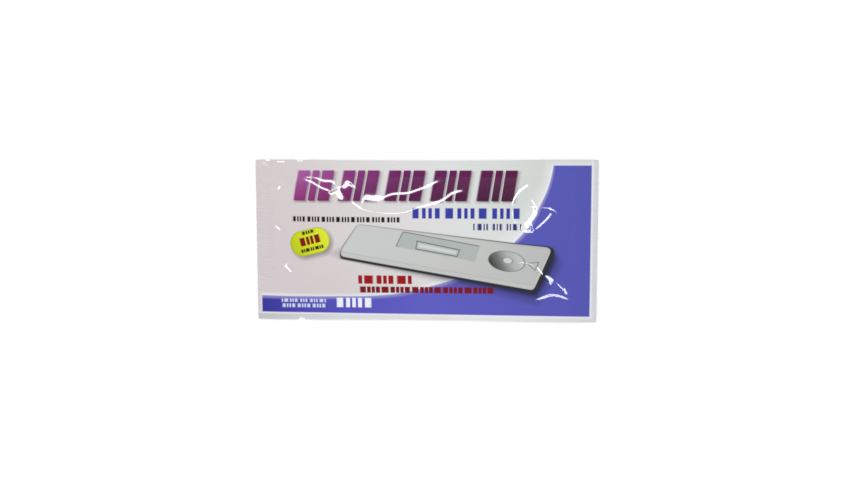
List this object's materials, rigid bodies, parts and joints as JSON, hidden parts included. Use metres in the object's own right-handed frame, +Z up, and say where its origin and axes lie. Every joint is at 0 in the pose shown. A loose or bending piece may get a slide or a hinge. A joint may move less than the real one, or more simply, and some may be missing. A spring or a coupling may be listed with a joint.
{
  "type": "sealed foil pouch",
  "caption": "Sealed flat laminate pouch for a test cassette, with ribbed end seals, tear notches and a low creased tent over its contents.",
  "frame": {"origin": "centre of the pouch's outline in plan, on the surface that it lies on", "axes": "+X along the pouch, from the end by the tear notches to the other end; +Y across it, to the back as the print is read; +Z up, out of the printed face"},
  "size_m": [0.136, 0.0644, 0.0059],
  "materials": {
    "laminate_film": "printed glossy polyester film laminated on aluminium foil"
  },
  "bodies": {
    "root": {"sealed_pouch": "laminate_film"}
  },
  "joints": []
}
